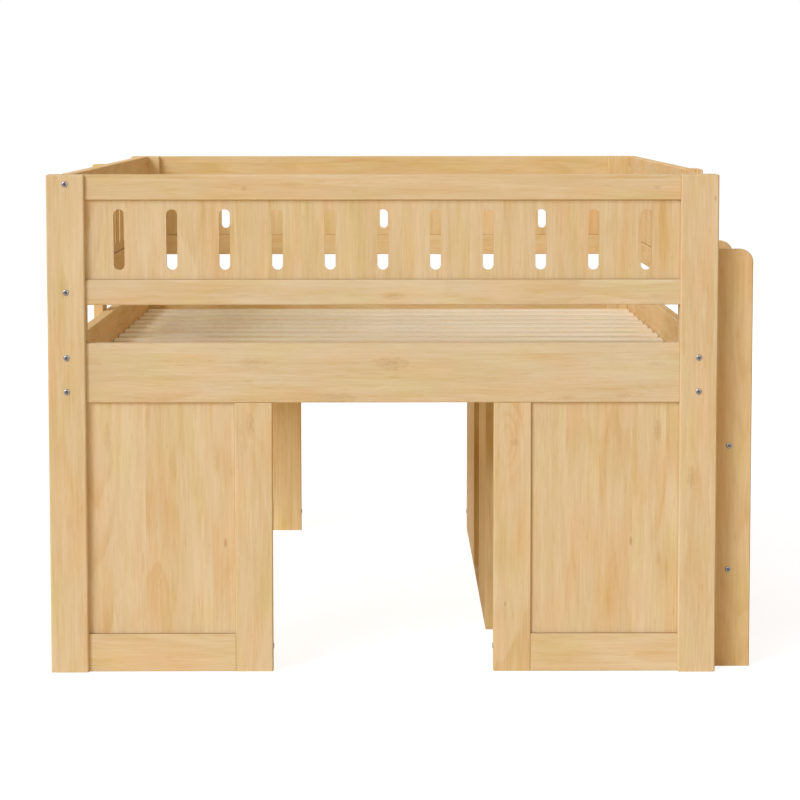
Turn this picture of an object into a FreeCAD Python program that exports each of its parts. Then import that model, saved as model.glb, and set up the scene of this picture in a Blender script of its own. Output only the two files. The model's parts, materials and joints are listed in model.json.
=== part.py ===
import FreeCAD, Part
import os

from FreeCAD import Vector

# Loft bed: its short ends face -Y (front) and +Y (rear), the ladder is on the +X side, the floor is Z = 0.

# Sizes over the four posts
BED_WIDTH = 1475.0
BED_LENGTH = 2030.0

# Corner posts
POST_WIDTH = 83.0
POST_DEPTH = 58.0
POST_EDGE_CHAMFER = 2.5

# Heights of the end frame, from the floor up
BOTTOM_RAIL_HEIGHT = 85.0
LOWER_PANEL_HEIGHT = 517.0
BED_RAIL_HEIGHT = 132.0
GUARD_GAP = 84.4
GUARD_BOTTOM_HEIGHT = 56.0
GUARD_PANEL_HEIGHT = 174.6
GUARD_TOP_HEIGHT = 56.0

# Boards of the end frame
END_RAIL_THICKNESS = 28.0
END_RAIL_SETBACK = 10.0
PANEL_THICKNESS = 12.0
DOORWAY_WIDTH = 490.0
STILE_WIDTH = 83.0
RAIL_EDGE_CHAMFER = 1.8

# Mortise and tenon joints, and the grooves that hold the panels
TENON_LENGTH = 30.0
STUB_TENON_LENGTH = 10.0
TENON_THICKNESS = 12.0
TENON_WEB = 3.0
TENON_CLEARANCE = 0.2
TENON_TIP_GAP = 0.6
GROOVE_DEPTH = 9.0
GROOVE_CLEARANCE = 0.2
GROOVE_TIP_GAP = 0.5

# Round-ended slots in the guard panels
SLOT_WIDTH = 24.0
SLOT_LENGTH = 133.5
SLOT_PITCH = 116.0
SLOT_END_MARGIN = 60.0

# Long side rails
SIDE_RAIL_THICKNESS = 26.0
SIDE_RAIL_INSET = 24.0

# Board outside the left guard, near mid length
MID_BOARD_START = 937.0
MID_BOARD_WIDTH = 94.0

# Ladder side: rail and guard flush with the posts' outer faces, the guard stopped short of the front post
ENTRY_GUARD_START = 466.0
ENTRY_BOARD_WIDTH = 90.0
ENTRY_BOARD_THICKNESS = 18.0
ENTRY_BOARD_CORNER_RADIUS = 6.0
CLEAT_THICKNESS = 22.0

# Slats, the ledgers they lie on and the beam under their middle
SLAT_COUNT = 14
SLAT_WIDTH = 70.0
SLAT_THICKNESS = 18.0
SLAT_DROP = 73.0
SLAT_EDGE_CHAMFER = 1.5
SLAT_END_CLEARANCE = 2.0
FIRST_SLAT_GAP = 25.0
LEDGER_WIDTH = 22.0
LEDGER_HEIGHT = 30.0
BEAM_WIDTH = 50.0
BEAM_POCKET = 12.0
BEAM_CLEARANCE = 0.3

# Ladder
LADDER_POST_GAP = 4.0
LADDER_CLEAR_WIDTH = 340.0
STRINGER_THICKNESS = 22.0
STRINGER_WIDTH = 84.5
STRINGER_HEIGHT = 938.0
STRINGER_CORNER_RADIUS = 29.0
STRINGER_EDGE_CHAMFER = 2.0
TREAD_COUNT = 2
TREAD_THICKNESS = 24.0
TREAD_SIDE_MARGIN = 5.0
TREAD_EDGE_RADIUS = 6.0
TREAD_HOUSING = 6.0
TREAD_HOUSING_CLEARANCE = 0.2
FIRST_TREAD_HEIGHT = 220.0
TREAD_RISE = 279.0

# Shelf unit under the ladder side, closed towards the bed's inside at its two outer bays
UNIT_START = 486.0
UNIT_BOARD_THICKNESS = 18.0
UNIT_BACK_THICKNESS = 12.0
UNIT_BOTTOM_THICKNESS = 6.0
UNIT_REAR_CLEARANCE = 2.0
UNIT_EDGE_CHAMFER = 0.8
NEAR_BAY_WIDTH = 448.0
OPEN_BAY_WIDTH = 395.0
SHELF_HEIGHT = 300.0
SHELF_SETBACK = 10.0
SHELF_TONGUE_LENGTH = 5.0
SHELF_TONGUE_THICKNESS = 9.0
SHELF_TONGUE_CLEARANCE = 0.2

# Levels worked out from the heights
BED_RAIL_BOTTOM = BOTTOM_RAIL_HEIGHT + LOWER_PANEL_HEIGHT
BED_RAIL_TOP = BED_RAIL_BOTTOM + BED_RAIL_HEIGHT
GUARD_BOTTOM = BED_RAIL_TOP + GUARD_GAP
GUARD_PANEL_BOTTOM = GUARD_BOTTOM + GUARD_BOTTOM_HEIGHT
GUARD_PANEL_TOP = GUARD_PANEL_BOTTOM + GUARD_PANEL_HEIGHT
BED_HEIGHT = GUARD_PANEL_TOP + GUARD_TOP_HEIGHT
SLAT_TOP = BED_RAIL_TOP - SLAT_DROP
LEDGER_TOP = SLAT_TOP - SLAT_THICKNESS
LEDGER_BOTTOM = LEDGER_TOP - LEDGER_HEIGHT

# Places across the bed, from its middle
POST_OUTER = BED_WIDTH / 2
POST_INNER = POST_OUTER - POST_WIDTH
STILE_INNER = DOORWAY_WIDTH / 2
STILE_OUTER = STILE_INNER + STILE_WIDTH
SIDE_OUTER = POST_OUTER - SIDE_RAIL_INSET
SIDE_INNER = SIDE_OUTER - SIDE_RAIL_THICKNESS
STRINGER_OUTER = POST_OUTER + STRINGER_WIDTH

# Places along the bed, from its middle
HALF_LENGTH = BED_LENGTH / 2
POST_BACK = HALF_LENGTH - POST_DEPTH
RAIL_MIDDLE_DEPTH = END_RAIL_SETBACK + END_RAIL_THICKNESS / 2
RAIL_BACK_DEPTH = END_RAIL_SETBACK + END_RAIL_THICKNESS
ENTRY_START = ENTRY_GUARD_START - HALF_LENGTH

# A tenon stays clear of the panel groove in the same board
TENON_SHOULDER = GROOVE_DEPTH + TENON_WEB
PANEL_TONGUE = GROOVE_DEPTH - GROOVE_TIP_GAP

# The origin lies under the middle of the whole, so the bed's middle stands off it by half the ladder's reach
BED_SHIFT = (STRINGER_OUTER - POST_OUTER) / 2

X_AXIS = Vector(1, 0, 0)
Y_AXIS = Vector(0, 1, 0)
Z_AXIS = Vector(0, 0, 1)
ENDS = {"front": -1, "rear": 1}
SIDES = {"left": -1, "right": 1}

pieces = {}


def box(x_span, y_span, z_span):
    """A block between two values on each axis, given in either order."""
    corner = Vector(min(x_span), min(y_span), min(z_span))
    size_x = abs(x_span[1] - x_span[0])
    size_y = abs(y_span[1] - y_span[0])
    size_z = abs(z_span[1] - z_span[0])
    return Part.makeBox(size_x, size_y, size_z, corner)


def edges_along(shape, direction):
    """The straight edges of a shape that run along a direction."""
    found = []
    for edge in shape.Edges:
        span = edge.Vertexes[-1].Point - edge.Vertexes[0].Point
        if span.Length > 0 and span.normalize().cross(direction).Length < 0.001:
            found.append(edge)
    return found


def board(x_span, y_span, z_span, grain, chamfer=RAIL_EDGE_CHAMFER):
    """A board with the arrises along its grain taken off."""
    blank = box(x_span, y_span, z_span)
    return blank.makeChamfer(chamfer, edges_along(blank, grain))


def rounded_board(x_span, y_span, z_span, radius):
    """A board along Y with its long edges rounded."""
    blank = box(x_span, y_span, z_span)
    return blank.makeFillet(radius, edges_along(blank, Y_AXIS))


def depth_span(end, near, far):
    """The span on Y between two depths behind the outer face of one end's posts."""
    return (end * (HALF_LENGTH - near), end * (HALF_LENGTH - far))


def side_span(side, inner, outer):
    """The span on X between two distances from the bed's middle, on one side."""
    return (side * inner, side * outer)


def about(middle, thickness, clearance=0.0):
    """The span of a thickness about its middle, with a clearance on both faces."""
    return (middle - thickness / 2 - clearance, middle + thickness / 2 + clearance)


def rail_span(end):
    """The span on Y of the rails and stiles of one end."""
    return depth_span(end, END_RAIL_SETBACK, RAIL_BACK_DEPTH)


def tenon_span(end, clearance=0.0):
    """The span on Y of the tenons in the rails and stiles of one end."""
    return about(end * (HALF_LENGTH - RAIL_MIDDLE_DEPTH), TENON_THICKNESS, clearance)


def panel_span(end, clearance=0.0):
    """The span on Y of the panels of one end, or of their grooves."""
    return about(end * (HALF_LENGTH - RAIL_MIDDLE_DEPTH), PANEL_THICKNESS, clearance)


def cut(name, *cutters):
    """Take cutters out of a piece."""
    for cutter in cutters:
        pieces[name] = pieces[name].cut(cutter)


def slotted_panel(visible_length, length, offset=0.0):
    """A guard panel in the XZ plane about the origin, with a row of round-ended slots in its visible length."""
    height = GUARD_PANEL_HEIGHT + 2 * PANEL_TONGUE
    blank = box(about(offset, length), about(0, PANEL_THICKNESS), about(0, height))
    radius = SLOT_WIDTH / 2
    reach = SLOT_LENGTH / 2 - radius
    y = -PANEL_THICKNESS
    lower_right = Vector(radius, y, -reach)
    upper_right = Vector(radius, y, reach)
    upper_left = Vector(-radius, y, reach)
    lower_left = Vector(-radius, y, -reach)
    outline = Part.Wire([
        Part.LineSegment(lower_right, upper_right).toShape(),
        Part.Arc(upper_right, Vector(0, y, reach + radius), upper_left).toShape(),
        Part.LineSegment(upper_left, lower_left).toShape(),
        Part.Arc(lower_left, Vector(0, y, -reach - radius), lower_right).toShape(),
    ])
    slot = Part.Face(outline).extrude(Y_AXIS * (2 * PANEL_THICKNESS))
    count = int((visible_length - 2 * SLOT_END_MARGIN) / SLOT_PITCH) + 1
    slots = []
    for index in range(count):
        place = Vector((index - (count - 1) / 2) * SLOT_PITCH, 0, 0)
        slots.append(slot.translated(place))
    return blank.cut(slots)


def make_post(end_name, side_name):
    """A corner post with its upright and top edges eased, mortised and grooved for one end frame."""
    end = ENDS[end_name]
    side = SIDES[side_name]
    name = f"{end_name}_{side_name}_post"
    blank = box(side_span(side, POST_INNER, POST_OUTER), depth_span(end, 0, POST_DEPTH), (0, BED_HEIGHT))
    arrises = edges_along(blank, Z_AXIS)
    for edge in blank.Edges:
        if edge.BoundBox.ZMin > BED_HEIGHT - POST_EDGE_CHAMFER:
            arrises.append(edge)
    pieces[name] = blank.makeChamfer(POST_EDGE_CHAMFER, arrises)
    mortise_reach = side_span(side, POST_INNER, POST_INNER + TENON_LENGTH + TENON_TIP_GAP)
    rails = [
        (0, BOTTOM_RAIL_HEIGHT),
        (BED_RAIL_BOTTOM, BED_RAIL_TOP),
        (GUARD_BOTTOM, GUARD_PANEL_BOTTOM),
        (GUARD_PANEL_TOP, BED_HEIGHT),
    ]
    for bottom, top in rails:
        height = (bottom + TENON_SHOULDER - TENON_CLEARANCE, top - TENON_SHOULDER + TENON_CLEARANCE)
        cut(name, box(mortise_reach, tenon_span(end, TENON_CLEARANCE), height))
    groove_reach = side_span(side, POST_INNER, POST_INNER + GROOVE_DEPTH)
    panels = [(BOTTOM_RAIL_HEIGHT, BED_RAIL_BOTTOM), (GUARD_PANEL_BOTTOM, GUARD_PANEL_TOP)]
    for bottom, top in panels:
        height = (bottom - GROOVE_DEPTH, top + GROOVE_DEPTH)
        cut(name, box(groove_reach, panel_span(end, GROOVE_CLEARANCE), height))


def make_cross_rail(name, end, bottom, top):
    """A rail from post to post of one end, with a tenon at both ends."""
    body = board((-POST_INNER, POST_INNER), rail_span(end), (bottom, top), X_AXIS)
    tenon_tip = POST_INNER + TENON_LENGTH
    tenons = box((-tenon_tip, tenon_tip), tenon_span(end), (bottom + TENON_SHOULDER, top - TENON_SHOULDER))
    pieces[name] = body.fuse(tenons).removeSplitter()


def make_guard_end(end_name):
    """The slotted guard of one end: two rails and the panel between them."""
    end = ENDS[end_name]
    groove_y = panel_span(end, GROOVE_CLEARANCE)
    top_rail = f"{end_name}_guard_top_rail"
    make_cross_rail(top_rail, end, GUARD_PANEL_TOP, BED_HEIGHT)
    cut(top_rail, box((-POST_INNER, POST_INNER), groove_y, (GUARD_PANEL_TOP, GUARD_PANEL_TOP + GROOVE_DEPTH)))
    bottom_rail = f"{end_name}_guard_bottom_rail"
    make_cross_rail(bottom_rail, end, GUARD_BOTTOM, GUARD_PANEL_BOTTOM)
    groove_z = (GUARD_PANEL_BOTTOM - GROOVE_DEPTH, GUARD_PANEL_BOTTOM)
    cut(bottom_rail, box((-POST_INNER, POST_INNER), groove_y, groove_z))
    panel = slotted_panel(2 * POST_INNER, 2 * (POST_INNER + PANEL_TONGUE))
    middle = Vector(0, end * (HALF_LENGTH - RAIL_MIDDLE_DEPTH), (GUARD_PANEL_BOTTOM + GUARD_PANEL_TOP) / 2)
    pieces[f"{end_name}_guard_panel"] = panel.translated(middle)


def make_bed_end_rail(end_name):
    """The rail at bed height of one end, with the beam's pocket, panel grooves and stile mortises."""
    end = ENDS[end_name]
    name = f"{end_name}_bed_rail"
    make_cross_rail(name, end, BED_RAIL_BOTTOM, BED_RAIL_TOP)
    pocket_x = about(0, BEAM_WIDTH, BEAM_CLEARANCE)
    pocket_y = depth_span(end, RAIL_BACK_DEPTH - BEAM_POCKET, RAIL_BACK_DEPTH)
    cut(name, box(pocket_x, pocket_y, (LEDGER_BOTTOM, LEDGER_TOP + BEAM_CLEARANCE)))
    for side in SIDES.values():
        groove_x = side_span(side, STILE_OUTER - GROOVE_DEPTH, POST_INNER)
        groove_z = (BED_RAIL_BOTTOM, BED_RAIL_BOTTOM + GROOVE_DEPTH)
        cut(name, box(groove_x, panel_span(end, GROOVE_CLEARANCE), groove_z))
        mortise_inner = STILE_INNER + TENON_SHOULDER - TENON_CLEARANCE
        mortise_outer = STILE_OUTER - TENON_SHOULDER + TENON_CLEARANCE
        mortise_x = side_span(side, mortise_inner, mortise_outer)
        mortise_z = (BED_RAIL_BOTTOM, BED_RAIL_BOTTOM + TENON_LENGTH + TENON_TIP_GAP)
        cut(name, box(mortise_x, tenon_span(end, TENON_CLEARANCE), mortise_z))


def make_lower_end(end_name, side_name):
    """Stile, bottom rail and panel between a post and the doorway of one end."""
    end = ENDS[end_name]
    side = SIDES[side_name]
    groove_y = panel_span(end, GROOVE_CLEARANCE)
    stile = f"{end_name}_{side_name}_stile"
    body = board(side_span(side, STILE_INNER, STILE_OUTER), rail_span(end), (0, BED_RAIL_BOTTOM), Z_AXIS)
    tenon_x = side_span(side, STILE_INNER + TENON_SHOULDER, STILE_OUTER - TENON_SHOULDER)
    tenon_z = (BED_RAIL_BOTTOM - TENON_LENGTH, BED_RAIL_BOTTOM + TENON_LENGTH)
    pieces[stile] = body.fuse(box(tenon_x, tenon_span(end), tenon_z)).removeSplitter()
    groove_z = (BOTTOM_RAIL_HEIGHT - GROOVE_DEPTH, BED_RAIL_BOTTOM)
    cut(stile, box(side_span(side, STILE_OUTER - GROOVE_DEPTH, STILE_OUTER), groove_y, groove_z))

    rail = f"{end_name}_{side_name}_bottom_rail"
    body = board(side_span(side, STILE_OUTER, POST_INNER), rail_span(end), (0, BOTTOM_RAIL_HEIGHT), X_AXIS)
    tenon_x = side_span(side, STILE_OUTER - STUB_TENON_LENGTH, POST_INNER + TENON_LENGTH)
    tenon_z = (TENON_SHOULDER, BOTTOM_RAIL_HEIGHT - TENON_SHOULDER)
    pieces[rail] = body.fuse(box(tenon_x, tenon_span(end), tenon_z)).removeSplitter()
    mortise_x = side_span(side, STILE_OUTER - STUB_TENON_LENGTH - TENON_TIP_GAP, STILE_OUTER)
    mortise_z = (tenon_z[0] - TENON_CLEARANCE, tenon_z[1] + TENON_CLEARANCE)
    cut(stile, box(mortise_x, tenon_span(end, TENON_CLEARANCE), mortise_z))
    groove_z = (BOTTOM_RAIL_HEIGHT - GROOVE_DEPTH, BOTTOM_RAIL_HEIGHT)
    cut(rail, box(side_span(side, STILE_OUTER, POST_INNER), groove_y, groove_z))

    panel_x = side_span(side, STILE_OUTER - PANEL_TONGUE, POST_INNER + PANEL_TONGUE)
    panel_z = (BOTTOM_RAIL_HEIGHT - PANEL_TONGUE, BED_RAIL_BOTTOM + PANEL_TONGUE)
    pieces[f"{end_name}_{side_name}_panel"] = box(panel_x, panel_span(end), panel_z)


def stub_tenons(name, side_name, x_middle, end_names):
    """Short tenons on a long rail of one side, let into the backs of that side's posts."""
    bounds = pieces[name].BoundBox
    tenon_z = (bounds.ZMin + TENON_SHOULDER, bounds.ZMax - TENON_SHOULDER)
    mortise_z = (tenon_z[0] - TENON_CLEARANCE, tenon_z[1] + TENON_CLEARANCE)
    tip = POST_BACK + STUB_TENON_LENGTH
    for end_name in end_names:
        end = ENDS[end_name]
        tenon_y = (end * (POST_BACK - STUB_TENON_LENGTH), end * tip)
        tenon = box(about(x_middle, TENON_THICKNESS), tenon_y, tenon_z)
        pieces[name] = pieces[name].fuse(tenon).removeSplitter()
        mortise_x = about(x_middle, TENON_THICKNESS, TENON_CLEARANCE)
        mortise_y = (end * POST_BACK, end * (tip + TENON_TIP_GAP))
        cut(f"{end_name}_{side_name}_post", box(mortise_x, mortise_y, mortise_z))


def make_side_rail(side_name, inner, outer, ledger_gap):
    """The long bed rail of one side with the ledger that carries the slats."""
    side = SIDES[side_name]
    rail = f"{side_name}_bed_rail"
    pieces[rail] = board(
        side_span(side, inner, outer), (-POST_BACK, POST_BACK), (BED_RAIL_BOTTOM, BED_RAIL_TOP), Y_AXIS)
    stub_tenons(rail, side_name, side * (inner + outer) / 2, ENDS)
    ledger_x = side_span(side, inner - LEDGER_WIDTH, inner)
    ledger_tip = POST_BACK - ledger_gap
    pieces[f"{side_name}_ledger"] = board(
        ledger_x, (-ledger_tip, ledger_tip), (LEDGER_BOTTOM, LEDGER_TOP), Y_AXIS)


def make_long_guard(side_name, inner, outer, start, end_names):
    """A slotted guard along one side, from a start on Y to the rear post, tenoned into some of the posts."""
    side = SIDES[side_name]
    x_span = side_span(side, inner, outer)
    x_middle = side * (inner + outer) / 2
    y_span = (start, POST_BACK)
    groove_x = about(x_middle, PANEL_THICKNESS, GROOVE_CLEARANCE)
    top_rail = f"{side_name}_guard_top_rail"
    pieces[top_rail] = board(x_span, y_span, (GUARD_PANEL_TOP, BED_HEIGHT), Y_AXIS)
    cut(top_rail, box(groove_x, y_span, (GUARD_PANEL_TOP, GUARD_PANEL_TOP + GROOVE_DEPTH)))
    bottom_rail = f"{side_name}_guard_bottom_rail"
    pieces[bottom_rail] = board(x_span, y_span, (GUARD_BOTTOM, GUARD_PANEL_BOTTOM), Y_AXIS)
    cut(bottom_rail, box(groove_x, y_span, (GUARD_PANEL_BOTTOM - GROOVE_DEPTH, GUARD_PANEL_BOTTOM)))
    stub_tenons(top_rail, side_name, x_middle, end_names)
    stub_tenons(bottom_rail, side_name, x_middle, end_names)
    length = POST_BACK - start
    panel = slotted_panel(length, length - 2 * GROOVE_TIP_GAP)
    panel.rotate(Vector(0, 0, 0), Z_AXIS, 90)
    middle = Vector(x_middle, (start + POST_BACK) / 2, (GUARD_PANEL_BOTTOM + GUARD_PANEL_TOP) / 2)
    pieces[f"{side_name}_guard_panel"] = panel.translated(middle)


def make_left_side():
    """The closed side: a guard in line with the bed rail, tied to it by an upright board outside both."""
    make_side_rail("left", SIDE_INNER, SIDE_OUTER, 0)
    make_long_guard("left", SIDE_INNER, SIDE_OUTER, -POST_BACK, ENDS)
    start = MID_BOARD_START - HALF_LENGTH
    pieces["left_mid_board"] = board(
        (-SIDE_OUTER, -POST_OUTER), (start, start + MID_BOARD_WIDTH), (BED_RAIL_BOTTOM, BED_HEIGHT), Z_AXIS)


def make_right_side():
    """The ladder side: rail and guard flush with the posts, an upright board over both and cleats inside."""
    make_side_rail("right", SIDE_OUTER, POST_OUTER, CLEAT_THICKNESS)
    make_long_guard("right", SIDE_OUTER, POST_OUTER, ENTRY_START, ["rear"])
    for end_name, end in ENDS.items():
        cleat_y = depth_span(end, POST_DEPTH, POST_DEPTH + CLEAT_THICKNESS)
        pieces[f"{end_name}_right_cleat"] = board(
            (SIDE_INNER, SIDE_OUTER), cleat_y, (BED_RAIL_BOTTOM, BED_RAIL_TOP), Z_AXIS)
    outer = POST_OUTER + ENTRY_BOARD_THICKNESS
    blank = board((POST_OUTER, outer), (ENTRY_START, ENTRY_START + ENTRY_BOARD_WIDTH),
                  (BED_RAIL_BOTTOM, BED_HEIGHT), Z_AXIS)
    corner = []
    for edge in edges_along(blank, Y_AXIS):
        at_top = edge.BoundBox.ZMin > BED_HEIGHT - RAIL_EDGE_CHAMFER
        if at_top and edge.BoundBox.XMin > outer - RAIL_EDGE_CHAMFER:
            corner.append(edge)
    pieces["right_entry_board"] = blank.makeFillet(ENTRY_BOARD_CORNER_RADIUS, corner)


def make_bed_base():
    """The slats across the bed and the beam under their middle."""
    beam_tip = HALF_LENGTH - RAIL_BACK_DEPTH + BEAM_POCKET - BEAM_CLEARANCE
    pieces["centre_beam"] = board(
        about(0, BEAM_WIDTH), (-beam_tip, beam_tip), (LEDGER_BOTTOM, LEDGER_TOP), Y_AXIS)
    left_tip = SLAT_END_CLEARANCE - SIDE_INNER
    right_tip = SIDE_OUTER - SLAT_END_CLEARANCE
    first = FIRST_SLAT_GAP - POST_BACK
    pitch = (2 * POST_BACK - 2 * FIRST_SLAT_GAP - SLAT_WIDTH) / (SLAT_COUNT - 1)
    slat = board((left_tip, right_tip), (first, first + SLAT_WIDTH), (LEDGER_TOP, SLAT_TOP),
                 X_AXIS, SLAT_EDGE_CHAMFER)
    pieces["slats"] = Part.makeCompound(
        [slat.translated(Vector(0, index * pitch, 0)) for index in range(SLAT_COUNT)])


def stringer(start):
    """A ladder upright with its outer top corner rounded, starting at a place on Y."""
    inner = POST_OUTER
    corner = STRINGER_CORNER_RADIUS
    middle = corner * (1 - 0.5 ** 0.5)
    lower_inner = Vector(inner, start, 0)
    lower_outer = Vector(STRINGER_OUTER, start, 0)
    arc_start = Vector(STRINGER_OUTER, start, STRINGER_HEIGHT - corner)
    arc_middle = Vector(STRINGER_OUTER - middle, start, STRINGER_HEIGHT - middle)
    arc_end = Vector(STRINGER_OUTER - corner, start, STRINGER_HEIGHT)
    upper_inner = Vector(inner, start, STRINGER_HEIGHT)
    outline = Part.Wire([
        Part.LineSegment(lower_inner, lower_outer).toShape(),
        Part.LineSegment(lower_outer, arc_start).toShape(),
        Part.Arc(arc_start, arc_middle, arc_end).toShape(),
        Part.LineSegment(arc_end, upper_inner).toShape(),
        Part.LineSegment(upper_inner, lower_inner).toShape(),
    ])
    blank = Part.Face(outline).extrude(Y_AXIS * STRINGER_THICKNESS)
    rims = []
    for edge in blank.Edges:
        flat = edge.BoundBox.YLength < STRINGER_EDGE_CHAMFER
        if flat and edge.BoundBox.ZMax > STRINGER_EDGE_CHAMFER:
            rims.append(edge)
    return blank.makeChamfer(STRINGER_EDGE_CHAMFER, rims)


def make_ladder():
    """Two uprights beside the entry and the treads housed between them."""
    front_start = LADDER_POST_GAP - POST_BACK
    front_face = front_start + STRINGER_THICKNESS
    rear_face = front_face + LADDER_CLEAR_WIDTH
    pieces["ladder_front_stringer"] = stringer(front_start)
    pieces["ladder_rear_stringer"] = stringer(rear_face)
    x_span = (POST_OUTER + TREAD_SIDE_MARGIN, STRINGER_OUTER - TREAD_SIDE_MARGIN)
    y_span = (front_face - TREAD_HOUSING, rear_face + TREAD_HOUSING)
    gap = TREAD_HOUSING_CLEARANCE
    for index in range(TREAD_COUNT):
        z = FIRST_TREAD_HEIGHT + index * TREAD_RISE
        tread = f"ladder_tread_{index + 1}"
        pieces[tread] = rounded_board(x_span, y_span, about(z, TREAD_THICKNESS), TREAD_EDGE_RADIUS)
        housing_x = (x_span[0] - gap, x_span[1] + gap)
        housing = rounded_board(housing_x, y_span, about(z, TREAD_THICKNESS, gap), TREAD_EDGE_RADIUS + gap)
        cut("ladder_front_stringer", housing)
        cut("ladder_rear_stringer", housing)


def make_shelf_unit():
    """The shelf unit under the ladder side: open outwards, with backs behind its near and far bays."""
    start = UNIT_START - HALF_LENGTH
    finish = POST_BACK - UNIT_REAR_CLEARANCE
    thickness = UNIT_BOARD_THICKNESS
    x_span = (STILE_INNER, POST_OUTER)
    standing = (UNIT_BOTTOM_THICKNESS, BED_RAIL_BOTTOM - thickness)
    pieces["unit_bottom"] = board(
        x_span, (start, finish), (0, UNIT_BOTTOM_THICKNESS), Y_AXIS, UNIT_EDGE_CHAMFER)
    pieces["unit_top"] = board(
        x_span, (start, finish), (standing[1], BED_RAIL_BOTTOM), Y_AXIS, UNIT_EDGE_CHAMFER)
    near_divider = start + thickness + NEAR_BAY_WIDTH
    far_divider = near_divider + thickness + OPEN_BAY_WIDTH
    uprights = {
        "unit_near_end": start,
        "unit_near_divider": near_divider,
        "unit_far_divider": far_divider,
        "unit_far_end": finish - thickness,
    }
    for name, y in uprights.items():
        pieces[name] = board(x_span, (y, y + thickness), standing, Z_AXIS, UNIT_EDGE_CHAMFER)
    bays = {
        "near": ("unit_near_end", "unit_near_divider"),
        "far": ("unit_far_divider", "unit_far_end"),
    }
    back_x = (STILE_INNER, STILE_INNER + UNIT_BACK_THICKNESS)
    shelf_x = (STILE_INNER + UNIT_BACK_THICKNESS, POST_OUTER - SHELF_SETBACK)
    for bay, (first, second) in bays.items():
        bay_y = (uprights[first] + thickness, uprights[second])
        pieces[f"unit_{bay}_back"] = box(back_x, bay_y, standing)
        shelf = board(shelf_x, bay_y, (SHELF_HEIGHT, SHELF_HEIGHT + thickness), Y_AXIS, UNIT_EDGE_CHAMFER)
        tongue_x = (shelf_x[0] + UNIT_EDGE_CHAMFER, shelf_x[1] - UNIT_EDGE_CHAMFER)
        tongue_y = (bay_y[0] - SHELF_TONGUE_LENGTH, bay_y[1] + SHELF_TONGUE_LENGTH)
        tongue_top = SHELF_HEIGHT + SHELF_TONGUE_THICKNESS
        tongues = box(tongue_x, tongue_y, (SHELF_HEIGHT, tongue_top))
        pieces[f"unit_{bay}_shelf"] = shelf.fuse(tongues).removeSplitter()
        gap = SHELF_TONGUE_CLEARANCE
        housing = box((tongue_x[0] - gap, tongue_x[1] + gap), tongue_y, (SHELF_HEIGHT, tongue_top + gap))
        cut(first, housing)
        cut(second, housing)


for end_name in ENDS:
    for side_name in SIDES:
        make_post(end_name, side_name)
        make_lower_end(end_name, side_name)
    make_guard_end(end_name)
    make_bed_end_rail(end_name)
make_left_side()
make_right_side()
make_bed_base()
make_ladder()
make_shelf_unit()

os.makedirs("parts", exist_ok=True)
for name, shape in pieces.items():
    moved = shape.translated(Vector(-BED_SHIFT, 0, 0))
    moved.exportStep(f"parts/{name}.step")
print(f"{len(pieces)} nodes, {sum(len(shape.Solids) for shape in pieces.values())} solids")
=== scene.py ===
import json
import math
import random

import bmesh
import bpy
from mathutils import Matrix, Vector


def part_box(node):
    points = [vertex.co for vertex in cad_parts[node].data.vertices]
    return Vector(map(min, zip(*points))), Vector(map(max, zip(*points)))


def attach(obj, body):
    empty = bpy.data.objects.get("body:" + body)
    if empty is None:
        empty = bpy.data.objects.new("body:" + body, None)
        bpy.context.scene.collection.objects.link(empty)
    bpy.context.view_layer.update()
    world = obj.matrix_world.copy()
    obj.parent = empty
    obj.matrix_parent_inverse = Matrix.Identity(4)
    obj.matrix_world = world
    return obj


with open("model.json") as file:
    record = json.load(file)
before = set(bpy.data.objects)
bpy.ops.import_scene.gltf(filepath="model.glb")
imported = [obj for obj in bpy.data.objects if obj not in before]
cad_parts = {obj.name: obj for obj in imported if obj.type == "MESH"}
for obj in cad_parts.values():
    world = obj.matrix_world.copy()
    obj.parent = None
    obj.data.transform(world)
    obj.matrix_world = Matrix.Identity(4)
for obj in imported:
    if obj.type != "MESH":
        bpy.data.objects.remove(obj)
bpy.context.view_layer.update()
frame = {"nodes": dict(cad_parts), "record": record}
nodes = frame["nodes"]

# Camera of the photograph, in metres, radians and pixels of the 800 by 800 image; sensor in millimetres
CAMERA_PLACE = Vector((-0.03272, -6.91191, 1.26391))
CAMERA_YAW = 0.00475
CAMERA_PITCH = -0.08833
CAMERA_ROLL = -0.00047
FOCAL_PIXELS = 2691.5
IMAGE_PIXELS = 800
FRAME_SHIFT_PIXELS = -60
SENSOR_WIDTH = 36.0

# Studio: sizes in metres, directions in degrees to the left of the front and above the floor, powers in watts
WHITE = (1.0, 1.0, 1.0, 1.0)
WORLD_STRENGTH = 0.27
WORLD_COLOUR = (1.0, 0.73, 0.42, 1.0)
LAMP_AIM = Vector((0.0, 0.0, 0.5))
LAMPS = {
    "key_lamp": {
        "left": 33.0, "above": 22.0, "distance": 60.0, "size": (32.0, 11.0),
        "power": 13900.0, "colour": (0.885, 0.98, 1.16),
    },
    "side_lamp": {
        "left": 78.0, "above": 22.0, "distance": 60.0, "size": (18.0, 11.0),
        "power": 5000.0, "colour": (1.0, 1.0, 1.0),
    },
    "high_lamp": {
        "left": 40.0, "above": 42.0, "distance": 60.0, "size": (14.0, 11.0),
        "power": 9400.0, "colour": (1.0, 1.0, 1.0),
    },
    "fill_lamp": {
        "left": -12.0, "above": 10.0, "distance": 30.0, "size": (8.0, 5.0),
        "power": 960.0, "colour": (1.0, 0.95, 0.84),
    },
    "back_lamp": {
        "left": 176.0, "above": 30.0, "distance": 12.0, "size": (6.0, 4.0),
        "power": 260.0, "colour": (1.0, 1.0, 1.0),
    },
    "top_lamp": {
        "left": 0.0, "above": 89.0, "distance": 6.0, "size": (4.0, 4.0),
        "power": 60.0, "colour": (1.0, 1.0, 1.0),
    },
}
FLOOR_HALF_WIDTH = 14.0
FLOOR_COLOUR = (0.95, 0.82, 0.58, 1.0)
FLOOR_GLOW = 0.82
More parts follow.
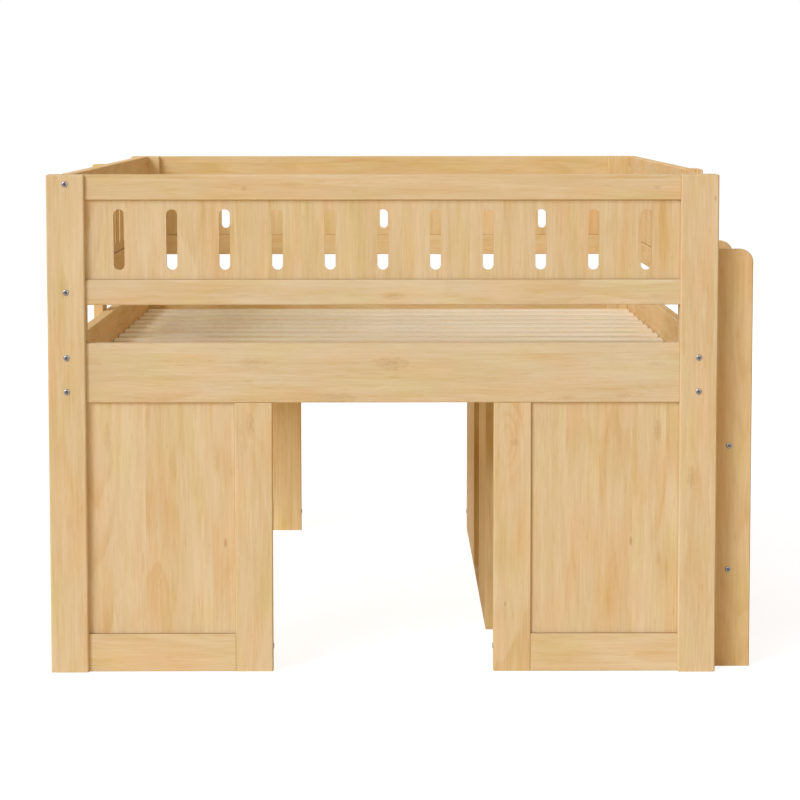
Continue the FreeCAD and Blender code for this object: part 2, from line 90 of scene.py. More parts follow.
FLOOR_SHADE = (0.40, 0.43, 0.48, 1.0)

# Staves that boards are glued up from: width and length in metres
POST_STAVE = (0.120, 90.0)
RAIL_STAVE = (0.150, 90.0)
PANEL_STAVE = (0.074, 90.0)
SLAT_STAVE = (0.140, 90.0)
SLAT_NODES = ("slats", "left_ledger", "right_ledger", "centre_beam")
SEED_RANGE = (1, 60)
COLUMN_SALT = 3.7
STAVE_STAGGER = 9.0
STAVE_SHIFT = (7.0, 11.0, 17.0)

# Noises of the wood: scales across, through and along the grain, per metre
WAVER_SCALES = (7.0, 7.0, 1.7)
RIPPLE_SCALES = (40.0, 40.0, 5.0)
LATE_PATCH_SCALES = (9.0, 9.0, 1.4)
FIBRE_SCALES = (330.0, 330.0, 17.0)
STREAK_SCALES = (75.0, 75.0, 4.2)
FLECK_SCALES = (260.0, 260.0, 26.0)
DRIFT_SCALES = (15.0, 15.0, 3.2)
KNOT_SCALES = (9.0, 0.0, 3.2)
FINE_DETAIL = 3.0
FINE_ROUGHNESS = 0.6

# Ranges of noise or of a ring's phase over which a mark comes or goes
LATE_RISE = (0.35, 0.86)
LATE_FALL = (0.90, 1.0)
LATE_PATCH = (0.35, 0.72)
FLECK = (0.66, 0.76)

# Growth rings: sizes in metres
RING_PITCH = 0.0046
WAVER_REACH = 0.018
RIPPLE_REACH = 0.0035
SWIRL_REACH = 0.020
EYE_REACH = 0.012
PITH_SPREAD = 0.11
PITH_DEPTH = 0.022
PITH_DEPTH_RANGE = 0.07
PITH_LEAN = 0.05

# Knots at random: share of places without one, reach in units of the noise, and how fast they fade
KNOT_SCATTER = 0.9
KNOT_FREE_SHARE = 0.74
KNOT_REACH = 0.05
KNOT_REACH_RANGE = 0.05
SWIRL_FADE = 0.22
HEART_FADE = 1.6

# Shares of the dark colour or of the knot colour, and relief of the surface
BASE_SHARE = 0.25
LATEWOOD_SHARE = 0.30
STREAK_SHARE = 0.85
FIBRE_SHARE = 0.75
FLECK_SHARE = 0.24
DRIFT_SHARE = 0.62
STAVE_SHARE = 0.13
HEART_SHARE = 0.55
EYE_SHARE = 0.50
LATEWOOD_RELIEF = 0.5
FIBRE_RELIEF = 0.6
FLECK_RELIEF = -0.5
SLAT_FIGURE = 0.7

# Patches of another hue in the wood
HUES = [
    {"scales": (18.0, 18.0, 4.6), "range": (0.42, 0.72), "tint": (1.025, 0.955, 0.91, 1.0)},
    {"scales": (23.0, 23.0, 5.3), "range": (0.45, 0.75), "tint": (0.975, 0.995, 0.89, 1.0)},
]

# Surface of the wood; the bump is in metres
BUMP_STRENGTH = 0.10
BUMP_DISTANCE = 0.0006
WOOD_RELIEF = (-0.4, 0.6)
WOOD_ROUGHNESS = (0.85, 0.72)
WOOD_SPECULAR = 0.04

# Dark seams where boards meet, partly joint lines and partly painted shade in the creases beside rails and
# stiles: half widths in metres, and the share of them that is darkest
GUARD_SEAM_AND_SHADE = 0.0015
PANEL_SEAM_AND_SHADE = 0.0014
STILE_SEAM_AND_SHADE = 0.0016
RAIL_SEAM_AND_SHADE = 0.0008
SEAM_AND_SHADE_CORE = 0.2
PAINTED_SHADE_AT_SEAMS = (0.70, 0.62, 0.54, 1.0)

# Tones of single boards, as factors of the wood's colour, partly painted light and shade; a board takes the
# first that its name starts with
BOARD_TINTS_AND_PAINTED_LIGHT = {
    "front_bed_rail": (0.97, 1.00, 1.05, 1.0),
    "front_guard_bottom_rail": (1.00, 1.045, 1.13, 1.0),
    # Painted light and shade from here on: these tints stand in for bounce light and shade on the ladder,
    # side, rear and unit boards, warming them and lightening or darkening them
    "ladder_": (1.00, 0.92, 0.79, 1.0),
    "left_": (1.12, 1.03, 0.86, 1.0),
    "right_": (1.09, 1.03, 0.92, 1.0),
    "rear_left_stile": (1.13, 1.12, 1.00, 1.0),
    "rear_": (1.04, 0.99, 0.83, 1.0),
    "unit_far_back": (1.08, 1.08, 1.16, 1.0),
    "unit_far_divider": (0.92, 0.80, 0.52, 1.0),
    "unit_near_back": (1.05, 0.99, 0.86, 1.0),
    "unit_near_end": (1.08, 1.05, 0.90, 1.0),
}

# Eyes and knots seen in the grain of the front: place along the grain, place across it, half length and half
# width in metres, then strength
EYES = {
    "front_bed_rail": [
        (-0.025, 0.688, 0.052, 0.017, 1.0), (-0.145, 0.612, 0.060, 0.012, 0.8),
        (-0.330, 0.690, 0.045, 0.014, 0.6), (0.364, 0.613, 0.022, 0.007, 0.8),
        (0.488, 0.617, 0.024, 0.008, 0.9), (0.559, 0.688, 0.030, 0.006, 0.8),
    ],
    "front_guard_bottom_rail": [
        (-0.020, 0.838, 0.034, 0.009, 1.0), (-0.346, 0.839, 0.022, 0.006, 0.8),
        (0.556, 0.838, 0.020, 0.006, 0.8),
    ],
    "front_guard_top_rail": [
        (-0.346, 1.074, 0.008, 0.006, 1.1), (-0.240, 1.082, 0.034, 0.008, 0.5),
        (0.560, 1.077, 0.012, 0.005, 1.0),
    ],
    "front_left_stile": [(0.552, -0.336, 0.036, 0.010, 1.0), (0.240, -0.327, 0.050, 0.008, 0.4)],
    "front_right_stile": [(0.514, 0.249, 0.012, 0.010, 0.9), (0.152, 0.229, 0.008, 0.003, 1.6)],
    "front_left_panel": [
        (0.288, -0.392, 0.014, 0.004, 2.0), (0.519, -0.652, 0.050, 0.009, 0.5),
        (0.240, -0.575, 0.030, 0.004, 0.6), (0.455, -0.508, 0.055, 0.009, 0.5),
    ],
    "front_right_panel": [
        (0.291, 0.508, 0.014, 0.004, 2.0), (0.537, 0.566, 0.032, 0.009, 1.0),
        (0.251, 0.569, 0.022, 0.006, 0.9),
    ],
    "front_right_post": [(1.053, 0.687, 0.008, 0.003, 1.6), (0.433, 0.640, 0.036, 0.010, 0.9)],
    "front_left_post": [(0.860, -0.742, 0.030, 0.010, 0.6), (0.330, -0.735, 0.034, 0.010, 0.6)],
}
EYE_WARP_SCALES = (3.4, 2.1, 1.0)
EYE_WARP = 1.5
EYE_ARC_RATE = 12.0
EYE_ARC_SWING = 0.26
EYE_ARC_MEAN = 0.56
EYE_CORE = 0.25

# Softened edges: sizes in metres
EDGE_SOFTENING = 0.0008
EDGE_SEGMENTS = 2
WELD_REACH = 0.00001
FLAT_ANGLE = math.radians(0.5)
EDGE_ANGLE = math.radians(30)

# Bolts and barrel nuts: sizes in metres, profiles as shares of radius and height from the foot inward
HEAD_RADIUS = 0.0068
HEAD_HEIGHT = 0.0020
HEAD_PROFILE = [(1.0, 0.0), (1.0, 0.30), (0.93, 0.62), (0.80, 0.86), (0.66, 0.97), (0.60, 1.0)]
SOCKET_RADIUS = 0.0032
SOCKET_FLOOR = 0.0002
HEAD_SIDES = 48
NUT_RADIUS = 0.0050
NUT_HEIGHT = 0.0003
NUT_PROFILE = [(1.0, 0.0), (1.0, 0.6), (0.94, 1.0), (0.30, 1.0), (0.28, 0.3)]
# Slot of the sockets and bores, which take darker steel as painted shade
PAINTED_SHADE_SLOT = 1
HARDWARE_ANGLE = math.radians(40)
MOTTLE_SCALES = (900.0, 900.0, 900.0)
MOTTLE_RANGE = (0.3, 0.7)
STEEL_ROUGHNESS = (0.18, 0.28)

# Where the bolts are: levels below the edges of the boards that they hold and distances from them, in metres
BED_BOLT_DROP = 0.032
BED_BOLT_SPACING = 0.075
GUARD_TOP_BOLT_DROP = 0.021
STILE_BOLT_DROP = 0.030
NUT_REACH = 0.045
LADDER_BOLT_INSET = 0.0075


def srgb(red, green, blue):
    """A colour given as 0 to 255 in sRGB, as linear RGBA."""
    linear = []
    for value in (red, green, blue):
        share = value / 255
        linear.append(share / 12.92 if share <= 0.04045 else ((share + 0.055) / 1.055) ** 2.4)
    return (*linear, 1.0)


PINE = {"Pale": srgb(222, 202, 168), "Dark": srgb(201, 166, 110), "Knot": srgb(174, 124, 72)}
SLAT_PINE = {"Pale": srgb(239, 230, 210), "Dark": srgb(222, 206, 175), "Knot": srgb(182, 144, 100)}
PLYWOOD = {"Pale": srgb(219, 190, 145), "Dark": srgb(190, 152, 104), "Knot": srgb(160, 112, 70)}
WOODS = {"lacquered_pine": PINE, "slat_pine": SLAT_PINE, "plywood": PLYWOOD}
ZINC_STEEL = (srgb(118, 114, 112), srgb(164, 159, 156))
# Darker steel painted into the sockets and bores as their shade
PAINTED_SHADE_STEEL = (srgb(72, 69, 70), srgb(100, 97, 98))


class Graph:
    """Adds nodes to a tree. An input that is a socket is linked, and any other value is set."""

    def __init__(self, tree):
        self.tree = tree

    def add(self, kind, inputs=None, **settings):
        node = self.tree.nodes.new("ShaderNode" + kind)
        for name, value in settings.items():
            setattr(node, name, value)
        for key, value in (inputs or {}).items():
            if isinstance(value, bpy.types.NodeSocket):
                self.tree.links.new(value, node.inputs[key])
            else:
                node.inputs[key].default_value = value
        return node

    def math(self, operation, *values, clamp=False):
        return self.add("Math", dict(enumerate(values)), operation=operation, use_clamp=clamp).outputs[0]

    def vector(self, operation, *values):
        return self.add("VectorMath", dict(enumerate(values)), operation=operation).outputs[0]

    def length(self, vector):
        return self.add("VectorMath", {0: vector}, operation="LENGTH").outputs["Value"]

    def combine(self, x, y, z):
        return self.add("CombineXYZ", {0: x, 1: y, 2: z}).outputs[0]

    def noise(self, place, scales, detail=2.0, roughness=0.5):
        stretched = self.vector("MULTIPLY", place, scales)
        settings = {"Vector": stretched, "Scale": 1.0, "Detail": detail, "Roughness": roughness}
        return self.add("TexNoise", settings).outputs[0]

    def centred(self, value):
        """A value from 0 to 1 as one about zero."""
        return self.math("SUBTRACT", value, 0.5)

    def spread(self, value, low, high, to_low=0.0, to_high=1.0):
        """A value mapped smoothly from one range to another."""
        inputs = {0: value, 1: low, 2: high, 3: to_low, 4: to_high}
        return self.add("MapRange", inputs, interpolation_type="SMOOTHSTEP").outputs[0]

    def fade(self, distance, rate):
        """A bell that is 1 at no distance."""
        return self.math("EXPONENT", self.math("MULTIPLY", self.math("POWER", distance, 2.0), -rate))

    def mix(self, share, first, second, blend="MIX"):
        node = self.add("Mix", {0: share, 6: first, 7: second}, data_type="RGBA", blend_type=blend)
        return node.outputs[2]


def new_graph(block):
    """An empty node graph of a material or a world."""
    block.use_nodes = True
    block.node_tree.nodes.clear()
    return Graph(block.node_tree)


def make_wood_group():
    """Planed softwood glued up from staves: growth rings, fibres, flecks, knots and tone of each stave."""
    tree = bpy.data.node_groups.new("planed_wood", "ShaderNodeTree")
    sockets = {
        "Across": "NodeSocketFloat", "Through": "NodeSocketFloat", "Along": "NodeSocketFloat",
        "Stave Width": "NodeSocketFloat", "Stave Length": "NodeSocketFloat", "Seed": "NodeSocketFloat",
        "Pale": "NodeSocketColor", "Dark": "NodeSocketColor", "Knot": "NodeSocketColor",
        "Figure": "NodeSocketFloat", "Eye": "NodeSocketFloat",
    }
    for name, kind in sockets.items():
        tree.interface.new_socket(name, in_out="INPUT", socket_type=kind)
    tree.interface.new_socket("Color", in_out="OUTPUT", socket_type="NodeSocketColor")
    tree.interface.new_socket("Height", in_out="OUTPUT", socket_type="NodeSocketFloat")
    graph = Graph(tree)
    given = tree.nodes.new("NodeGroupInput").outputs
    seed = given["Seed"]

    # Which stave a point is in, and that stave's own random numbers
    place_across = graph.math("ADD", graph.math("DIVIDE", given["Across"], given["Stave Width"]), seed)
    column = graph.math("FLOOR", place_across)
    column_draw = graph.add("TexWhiteNoise", {"Vector": graph.combine(column, seed, COLUMN_SALT)}).outputs[0]
    place_along = graph.math("DIVIDE", given["Along"], given["Stave Length"])
    row = graph.math("FLOOR", graph.math("MULTIPLY_ADD", column_draw, STAVE_STAGGER, place_along))
    draws = graph.add("TexWhiteNoise", {"Vector": graph.combine(column, row, seed)}).outputs[1]
    draw = graph.add("SeparateColor", {0: draws}).outputs
    middle = graph.centred(graph.math("SUBTRACT", place_across, column))
    across = graph.math("MULTIPLY", middle, given["Stave Width"])
    local = graph.combine(across, given["Through"], given["Along"])
    place = graph.vector("ADD", local, graph.vector("MULTIPLY", draws, STAVE_SHIFT))

    # Knots: a few soft ones, drawn out along the grain
    flat = graph.vector("MULTIPLY", place, KNOT_SCALES)
    cells = graph.add("TexVoronoi", {"Vector": flat, "Scale": 1.0, "Randomness": KNOT_SCATTER})
    cell_draw = graph.add("SeparateColor", {0: cells.outputs["Color"]}).outputs
    has_knot = graph.math("GREATER_THAN", cell_draw[0], KNOT_FREE_SHARE)
    reach = graph.math("MULTIPLY_ADD", cell_draw[1], KNOT_REACH_RANGE, KNOT_REACH)
    nearness = graph.math("DIVIDE", cells.outputs["Distance"], reach)
    swirl = graph.math("MULTIPLY", graph.fade(nearness, SWIRL_FADE), has_knot)
    heart = graph.math("MULTIPLY", graph.fade(nearness, HEART_FADE), has_knot)

    # Growth rings about a pith that lies off the stave and leans a little along it
    pith_across = graph.math("MULTIPLY", graph.centred(draw[0]), PITH_SPREAD)
    pith_depth = graph.math("MULTIPLY_ADD", draw[1], PITH_DEPTH_RANGE, PITH_DEPTH)
    lean = graph.math("MULTIPLY", graph.centred(draw[2]), PITH_LEAN)
    off_across = graph.math("SUBTRACT", across, pith_across)
    off_through = graph.math("ADD", given["Through"], pith_depth)
    ring_radius = graph.length(graph.combine(off_across, off_through, 0.0))
    ring_radius = graph.math("MULTIPLY_ADD", given["Along"], lean, ring_radius)
    waver = graph.centred(graph.noise(place, WAVER_SCALES))
    ripple = graph.centred(graph.noise(place, RIPPLE_SCALES))
    bends = (
        (waver, WAVER_REACH), (ripple, RIPPLE_REACH), (swirl, SWIRL_REACH), (given["Eye"], EYE_REACH),
    )
    for bend, bend_reach in bends:
        ring_radius = graph.math("MULTIPLY_ADD", bend, bend_reach, ring_radius)
    phase = graph.math("FRACT", graph.math("DIVIDE", ring_radius, RING_PITCH))
    late_rise = graph.spread(phase, *LATE_RISE)
    late_fall = graph.spread(phase, *LATE_FALL, 1.0, 0.0)
    patchy = graph.spread(graph.noise(place, LATE_PATCH_SCALES), *LATE_PATCH)
    latewood = graph.math("MULTIPLY", graph.math("MULTIPLY", late_rise, late_fall), patchy)

    # Fibres, streaks and short flecks along the grain
    fibre = graph.centred(graph.noise(place, FIBRE_SCALES, FINE_DETAIL, FINE_ROUGHNESS))
    streak = graph.centred(graph.noise(place, STREAK_SCALES, FINE_DETAIL, FINE_ROUGHNESS))
    fleck = graph.spread(graph.noise(place, FLECK_SCALES, 1.0), *FLECK)
    drift = graph.centred(graph.noise(place, DRIFT_SCALES))

    # Colour
    dark_share = graph.math("MULTIPLY", latewood, LATEWOOD_SHARE)
    marks = (
        (streak, STREAK_SHARE), (fibre, FIBRE_SHARE), (fleck, FLECK_SHARE), (drift, DRIFT_SHARE),
        (graph.centred(draw[2]), STAVE_SHARE),
    )
    for mark, share in marks:
        dark_share = graph.math("MULTIPLY_ADD", mark, share, dark_share)
    dark_share = graph.math("MULTIPLY", dark_share, given["Figure"])
    dark_share = graph.math("ADD", dark_share, BASE_SHARE, clamp=True)
    colour = graph.mix(dark_share, given["Pale"], given["Dark"])
    for hue in HUES:
        hue_share = graph.spread(graph.noise(place, hue["scales"], 1.0), *hue["range"])
        colour = graph.mix(hue_share, colour, hue["tint"], "MULTIPLY")
    colour = graph.mix(graph.math("MULTIPLY", heart, HEART_SHARE), colour, given["Knot"])
    colour = graph.mix(graph.math("MULTIPLY", given["Eye"], EYE_SHARE), colour, given["Knot"])

    # Relief
    height = graph.math("MULTIPLY", latewood, LATEWOOD_RELIEF)
    for mark, relief in ((fibre, FIBRE_RELIEF), (fleck, FLECK_RELIEF)):
        height = graph.math("MULTIPLY_ADD", mark, relief, height)
    returned = tree.nodes.new("NodeGroupOutput").inputs
    tree.links.new(colour, returned["Color"])
    tree.links.new(height, returned["Height"])
    return tree


def grain_axes(node):
    """Axis along a node's grain, axis across its width and axis through its thickness, as 0 to 2."""
    low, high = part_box(node)
    size = high - low
    by_size = sorted(range(3), key=lambda axis: -size[axis])
    if node == "slats":
        along = 0
    elif node.endswith("_panel") or node.endswith("_back"):
        along = 2
    else:
        along = by_size[0]
    across, through = [axis for axis in by_size if axis != along]
    return along, across, through


def board_tint_and_painted_light(node):
    """The tone of one board, which on the ladder, side, rear and unit boards is painted light and shade."""
    return next((tone for start, tone in BOARD_TINTS_AND_PAINTED_LIGHT.items() if node.startswith(start)), WHITE)


def stave_size(node):
    """Width and length of the staves that a node is glued up from."""
    if node.endswith("_post"):
        return POST_STAVE
    if node.endswith("_panel") or node.startswith("unit_"):
        return PANEL_STAVE
    if node in SLAT_NODES:
        return SLAT_STAVE
    return RAIL_STAVE


def eye_share(graph, along, across, eyes):
    """How strongly a point is marked by the eyes of its board."""
    total = 0.0
    for place_along, place_across, half_length, half_width, strength in eyes:
        off_along = graph.math("DIVIDE", graph.math("SUBTRACT", along, place_along), half_length)
        off_across = graph.math("DIVIDE", graph.math("SUBTRACT", across, place_across), half_width)
        spot = graph.combine(off_along, off_across, 0.0)
        warp = graph.centred(graph.noise(spot, EYE_WARP_SCALES, FINE_DETAIL))
        distance = graph.math("MULTIPLY_ADD", warp, EYE_WARP, graph.length(spot))
        wave = graph.math("SINE", graph.math("MULTIPLY", distance, EYE_ARC_RATE))
        arcs = graph.math("MULTIPLY_ADD", wave, EYE_ARC_SWING, EYE_ARC_MEAN)
        shown = graph.math("MULTIPLY", graph.spread(distance, EYE_CORE, 1.0, strength, 0.0), arcs)
        total = graph.math("MAXIMUM", total, shown)
    return total


def seam_and_shade_lines(node):
    """Axis, place and half width of the dark lines where a panel or the rail under it meets its neighbour: a
    joint line partly painted with the shade of the crease.
    """
    if node.endswith("guard_panel"):
        rail = node.replace("panel", "bottom_rail")
        return [(2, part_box(rail)[1].z, GUARD_SEAM_AND_SHADE)]
    if node.endswith("_panel"):
        rail, stile = node.replace("panel", "bottom_rail"), node.replace("panel", "stile")
        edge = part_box(stile)[0].x if "left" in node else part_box(stile)[1].x
        return [(2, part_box(rail)[1].z, PANEL_SEAM_AND_SHADE), (0, edge, STILE_SEAM_AND_SHADE)]
    if node.endswith("_bottom_rail"):
        return [(2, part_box(node)[1].z, RAIL_SEAM_AND_SHADE)]
    return []


def make_wood(node, group):
    """The wood of one node, with its own place in the grain."""
    slot = next(part["material_slot"] for part in frame["record"]["subparts"] if part["node"] == node)
    material = bpy.data.materials.new("wood_" + node)
    graph = new_graph(material)
    axes = grain_axes(node)
    place = graph.add("SeparateXYZ", {0: graph.add("TexCoord").outputs["Object"]}).outputs
    width, length = stave_size(node)
    inputs = {
        "Seed": random.Random(node).uniform(*SEED_RANGE),
        "Stave Width": width,
        "Stave Length": length,
        "Figure": SLAT_FIGURE if slot == "slat_pine" else 1.0,
    }
    # The board's tint, which on the ladder, side, rear and unit boards is painted light and shade
    tone = board_tint_and_painted_light(node)
    for name, colour in WOODS[slot].items():
        inputs[name] = [part * factor for part, factor in zip(colour, tone)]
    for name, axis in zip(("Along", "Across", "Through"), axes):
        inputs[name] = place[axis]
    if node in EYES:
        inputs["Eye"] = eye_share(graph, place[axes[0]], place[axes[1]], EYES[node])
    wood = graph.add("Group", inputs, node_tree=group).outputs
    colour = wood["Color"]
    # Dark seam lines: joint lines, partly painted shade in the creases beside rails and stiles
    for axis, line, reach in seam_and_shade_lines(node):
        off = graph.math("ABSOLUTE", graph.math("SUBTRACT", place[axis], line))
        seam_and_shade = graph.spread(off, SEAM_AND_SHADE_CORE * reach, reach, 1.0, 0.0)
        colour = graph.mix(seam_and_shade, colour, PAINTED_SHADE_AT_SEAMS, "MULTIPLY")
    bump = graph.add("Bump", {"Height": wood["Height"], "Strength": BUMP_STRENGTH, "Distance": BUMP_DISTANCE})
    surface = graph.add("BsdfPrincipled", {
        "Base Color": colour,
        "Roughness": graph.spread(wood["Height"], *WOOD_RELIEF, *WOOD_ROUGHNESS),
        "Specular IOR Level": WOOD_SPECULAR,
        "Normal": bump.outputs[0],
    })
    graph.add("OutputMaterial", {"Surface": surface.outputs[0]})
    return material


def make_steel(name, dark, bright):
    """Zinc-plated steel with a fine mottle, or in dark colours the painted shade of a recess."""
    material = bpy.data.materials.new(name)
    graph = new_graph(material)
    place = graph.add("TexCoord").outputs["Object"]
    mottle = graph.noise(place, MOTTLE_SCALES, FINE_DETAIL)
    surface = graph.add("BsdfPrincipled", {
        "Base Color": graph.mix(mottle, dark, bright),
        "Roughness": graph.spread(mottle, *MOTTLE_RANGE, *STEEL_ROUGHNESS),
        "Metallic": 1.0,
    })
    graph.add("OutputMaterial", {"Surface": surface.outputs[0]})
    return material


def soften_edges(piece):
    """Joins a CAD mesh's faces along their edges and rounds its arrises a little, by modifiers."""
    weld = piece.modifiers.new("join_faces", "WELD")
    weld.merge_threshold = WELD_REACH
    flat = piece.modifiers.new("flat_faces", "DECIMATE")
    flat.decimate_type = "DISSOLVE"
    flat.angle_limit = FLAT_ANGLE
    bevel = piece.modifiers.new("soft_edges", "BEVEL")
    bevel.width = EDGE_SOFTENING
    bevel.segments = EDGE_SEGMENTS
    bevel.limit_method = "ANGLE"
    bevel.angle_limit = EDGE_ANGLE
    bevel.harden_normals = True
    bevel.use_clamp_overlap = True


def circle(radius, sides):
    """Corners of a circle."""
    turns = [2 * math.pi * index / sides for index in range(sides)]
    return [(radius * math.cos(turn), radius * math.sin(turn)) for turn in turns]


def hexagon(radius, sides):
    """Points along a hexagon, as many as a circle has corners."""
    points = []
    for index in range(sides):
        turn = 2 * math.pi * index / sides
        in_side = (turn + math.pi / 6) % (math.pi / 3) - math.pi / 6
        reach = radius / math.cos(in_side)
        points.append((reach * math.cos(turn), reach * math.sin(turn)))
    return points


def ring(mesh, corners, height):
    """A closed ring of vertices at one height."""
    return [mesh.verts.new((x, y, height)) for x, y in corners]


def turned(mesh, profile, radius, height):
    """The rings of a turned form."""
    return [ring(mesh, circle(radius * across, HEAD_SIDES), height * up) for across, up in profile]


def bridge(mesh, first, second, slot=0):
    """Quads between two rings with as many vertices, in one material slot."""
    for index in range(len(first)):
        after = (index + 1) % len(first)
        face = mesh.faces.new((first[index], first[after], second[after], second[index]))
        face.material_index = slot


def skin(mesh, rings, frame_matrix):
    """A closed skin over rings, whose last step is a recess in the darker steel of painted shade, moved into
    a frame.
    """
    for first, second in zip(rings, rings[1:-1]):
        bridge(mesh, first, second)
    bridge(mesh, rings[-2], rings[-1], PAINTED_SHADE_SLOT)
    mesh.faces.new(rings[-1]).material_index = PAINTED_SHADE_SLOT
    mesh.faces.new(rings[0][::-1])
    made = [vertex for each in rings for vertex in each]
    bmesh.ops.transform(mesh, matrix=frame_matrix, verts=made)


def bolt_head(mesh, frame_matrix):
    """A low domed bolt head with a hexagon socket, standing on the XY plane of a frame."""
    rings = turned(mesh, HEAD_PROFILE, HEAD_RADIUS, HEAD_HEIGHT)
    socket = hexagon(SOCKET_RADIUS, HEAD_SIDES)
    rings.append(ring(mesh, socket, HEAD_HEIGHT))
    rings.append(ring(mesh, socket, SOCKET_FLOOR))
    skin(mesh, rings, frame_matrix)


def nut_face(mesh, frame_matrix):
    """The face of a barrel nut with its bore, flush in a board."""
    skin(mesh, turned(mesh, NUT_PROFILE, NUT_RADIUS, NUT_HEIGHT), frame_matrix)


def standing(place, outward):
    """A frame at a place whose Z axis points outward from the face."""
    turn = Vector(outward).to_track_quat("Z", "Y").to_matrix().to_4x4()
    return Matrix.Translation(Vector(place)) @ turn


def make_hardware(name, make, frames, materials):
    """One piece of many like fasteners."""
    mesh = bmesh.new()
    for each in frames:
        make(mesh, each)
    bmesh.ops.recalc_face_normals(mesh, faces=mesh.faces)
    data = bpy.data.meshes.new(name)
    mesh.to_mesh(data)
    mesh.free()
    for material in materials:
        data.materials.append(material)
    for face in data.polygons:
        face.use_smooth = True
    piece = bpy.data.objects.new(name, data)
    bpy.context.scene.collection.objects.link(piece)
    piece.data.set_sharp_from_angle(angle=HARDWARE_ANGLE)
    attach(piece, "root")


def middle_of(node, axis):
    """The middle of a node on one axis."""
    low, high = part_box(node)
    return (low[axis] + high[axis]) / 2


def bed_bolt_levels(side):
    """Levels of the two bolts of a side's bed rail."""
    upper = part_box(f"{side}_bed_rail")[1].z - BED_BOLT_DROP
    return [upper, upper - BED_BOLT_SPACING]


def side_bolts():
    """Bolts through the posts into the side rails or their cleats, and the barrel nuts in the rails."""
    heads = []
    nuts = []
    for end, outward in (("front", -1), ("rear", 1)):
        for side, inward in (("left", 1), ("right", -1)):
            post_low, post_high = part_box(f"{end}_{side}_post")
            face = post_low.y if end == "front" else post_high.y
            back = post_high.y if end == "front" else post_low.y
            post_middle = (post_low.x + post_high.x) / 2
            for level in bed_bolt_levels(side):
                heads.append(standing((post_middle, face, level), (0, outward, 0)))
                if side == "left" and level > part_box("slats")[1].z:
                    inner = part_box("left_bed_rail")[1].x
                    nuts.append(standing((inner, back - outward * NUT_REACH, level), (inward, 0, 0)))
            if side == "right" and end == "front":
                continue
            levels = {
                "guard_top_rail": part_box(f"{side}_guard_top_rail")[1].z - GUARD_TOP_BOLT_DROP,
                "guard_bottom_rail": middle_of(f"{side}_guard_bottom_rail", 2),
            }
            for rail, level in levels.items():
                rail_low, rail_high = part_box(f"{side}_{rail}")
                place = post_middle if side == "left" else (rail_low.x + rail_high.x) / 2
                inner = rail_high.x if side == "left" else rail_low.x
                heads.append(standing((place, face, level), (0, outward, 0)))
                nuts.append(standing((inner, back - outward * NUT_REACH, level), (inward, 0, 0)))
    return heads, nuts


def stile_bolts():
    """Bolts through the doorway stiles into the bottom rails."""
    heads = []
    for end in ("front", "rear"):
        for side, inward in (("left", 1), ("right", -1)):
            low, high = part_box(f"{end}_{side}_stile")
            edge = high.x if side == "left" else low.x
            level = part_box(f"{end}_{side}_bottom_rail")[1].z - STILE_BOLT_DROP
            heads.append(standing((edge, (low.y + high.y) / 2, level), (inward, 0, 0)))
    return heads


def ladder_bolts():
    """Bolts through the ladder's uprights into its treads."""
    heads = []
    for upright, outward in (("ladder_front_stringer", -1), ("ladder_rear_stringer", 1)):
        low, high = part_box(upright)
        face = low.y if outward < 0 else high.y
        place = middle_of(upright, 0) - LADDER_BOLT_INSET
        for tread in ("ladder_tread_1", "ladder_tread_2"):
            heads.append(standing((place, face, middle_of(tread, 2)), (0, outward, 0)))
    return heads


def board_bolts():
    """Bolts through the upright boards of both sides into the rails behind them."""
    heads = []
    for board, side, outward in (("left_mid_board", "left", -1), ("right_entry_board", "right", 1)):
        low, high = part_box(board)
        face = low.x if outward < 0 else high.x
        levels = bed_bolt_levels(side)
        levels += [middle_of(f"{side}_guard_bottom_rail", 2), middle_of(f"{side}_guard_top_rail", 2)]
        for level in levels:
            heads.append(standing((face, (low.y + high.y) / 2, level), (outward, 0, 0)))
    return heads


def seen_directly(graph):
    """1 for rays from the camera, reflections and glass, else 0."""
    path = graph.add("LightPath").outputs
    mirrored = graph.math("MAXIMUM", path["Is Glossy Ray"], path["Is Transmission Ray"])
    return graph.math("MAXIMUM", path["Is Camera Ray"], mirrored)


def make_floor():
    """A pale floor that reads as white and keeps a faint shadow."""
    mesh = bpy.data.meshes.new("floor")
    half = FLOOR_HALF_WIDTH
    corners = [(-half, -half, 0), (half, -half, 0), (half, half, 0), (-half, half, 0)]
    mesh.from_pydata(corners, [], [(0, 1, 2, 3)])
    floor = bpy.data.objects.new("floor", mesh)
    bpy.context.scene.collection.objects.link(floor)
    material = bpy.data.materials.new("pale_floor")
    graph = new_graph(material)
    matte = graph.add("BsdfDiffuse", {"Color": FLOOR_COLOUR}).outputs[0]
    white = graph.add("Emission", {"Color": WHITE, "Strength": FLOOR_GLOW}).outputs[0]
    shaded = graph.add("BsdfDiffuse", {"Color": FLOOR_SHADE}).outputs[0]
    shown = graph.add("AddShader", {0: white, 1: shaded}).outputs[0]
    surface = graph.add("MixShader", {0: seen_directly(graph), 1: matte, 2: shown}).outputs[0]
    graph.add("OutputMaterial", {"Surface": surface})
    mesh.materials.append(material)


def make_world():
    """Soft light from all round, with a white background."""
    world = bpy.data.worlds.new("studio")
    bpy.context.scene.world = world
    graph = new_graph(world)
    soft = graph.add("Background", {"Color": WORLD_COLOUR, "Strength": WORLD_STRENGTH}).outputs[0]
    white = graph.add("Background", {"Color": WHITE, "Strength": 1.0}).outputs[0]
    surface = graph.add("MixShader", {0: seen_directly(graph), 1: soft, 2: white}).outputs[0]
    graph.add("OutputWorld", {"Surface": surface})


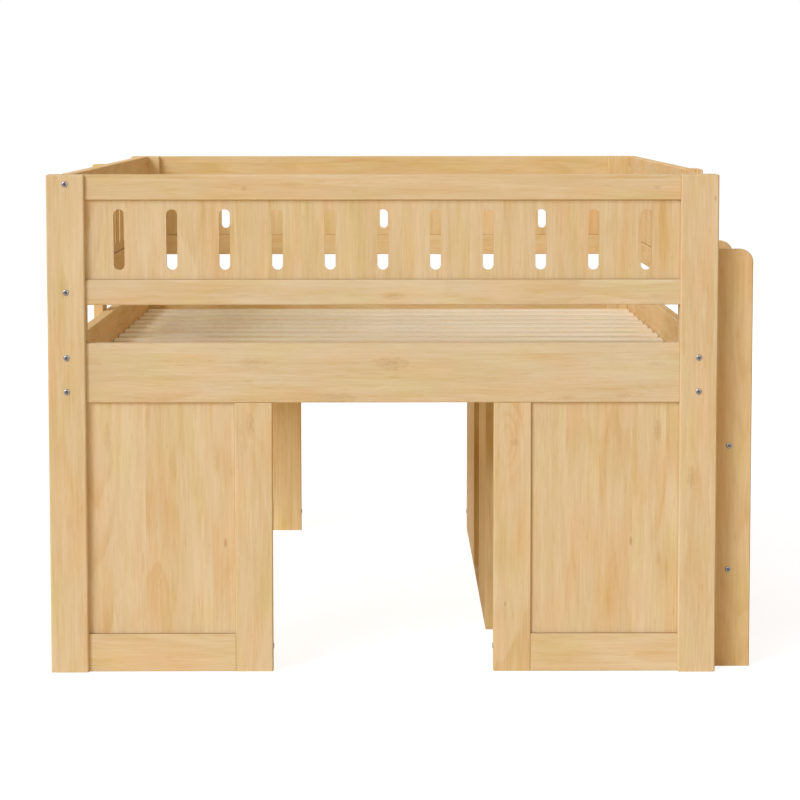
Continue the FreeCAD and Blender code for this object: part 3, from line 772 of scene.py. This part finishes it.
def make_lamp(name, left, above, distance, size, power, colour):
    """A soft rectangular lamp aimed at the bed."""
    data = bpy.data.lights.new(name, "AREA")
    data.shape = "RECTANGLE"
    data.size, data.size_y = size
    data.energy = power
    data.color = colour
    turn, rise = math.radians(left), math.radians(above)
    outward = Vector((-math.sin(turn) * math.cos(rise), -math.cos(turn) * math.cos(rise), math.sin(rise)))
    lamp = bpy.data.objects.new(name, data)
    lamp.location = LAMP_AIM + distance * outward
    lamp.rotation_mode = "QUATERNION"
    lamp.rotation_quaternion = (-outward).to_track_quat("-Z", "Y")
    bpy.context.scene.collection.objects.link(lamp)


def make_camera():
    """The camera of the photograph."""
    data = bpy.data.cameras.new("camera")
    data.sensor_width = SENSOR_WIDTH
    data.lens = FOCAL_PIXELS * SENSOR_WIDTH / IMAGE_PIXELS
    data.shift_y = FRAME_SHIFT_PIXELS / IMAGE_PIXELS
    camera = bpy.data.objects.new("camera", data)
    turn = Matrix.Rotation(-CAMERA_YAW, 4, "Z") @ Matrix.Rotation(math.pi / 2 + CAMERA_PITCH, 4, "X")
    camera.matrix_world = Matrix.Translation(CAMERA_PLACE) @ turn @ Matrix.Rotation(CAMERA_ROLL, 4, "Z")
    bpy.context.scene.collection.objects.link(camera)
    bpy.context.scene.camera = camera


wood_group = make_wood_group()
for node_name, node_object in nodes.items():
    node_object.data.materials.clear()
    node_object.data.materials.append(make_wood(node_name, wood_group))
    soften_edges(node_object)

# The second steel is darker: painted shade in the sockets and bores
steel = [make_steel("zinc_steel", *ZINC_STEEL), make_steel("recess_painted_shade", *PAINTED_SHADE_STEEL)]
post_heads, rail_nuts = side_bolts()
make_hardware("post_bolts", bolt_head, post_heads, steel)
make_hardware("rail_nuts", nut_face, rail_nuts, steel)
make_hardware("stile_bolts", bolt_head, stile_bolts(), steel)
make_hardware("ladder_bolts", bolt_head, ladder_bolts(), steel)
make_hardware("board_bolts", bolt_head, board_bolts(), steel)

make_floor()
make_world()
for lamp_name, lamp_values in LAMPS.items():
    make_lamp(lamp_name, **lamp_values)
make_camera()
bpy.context.scene.view_settings.view_transform = "Standard"
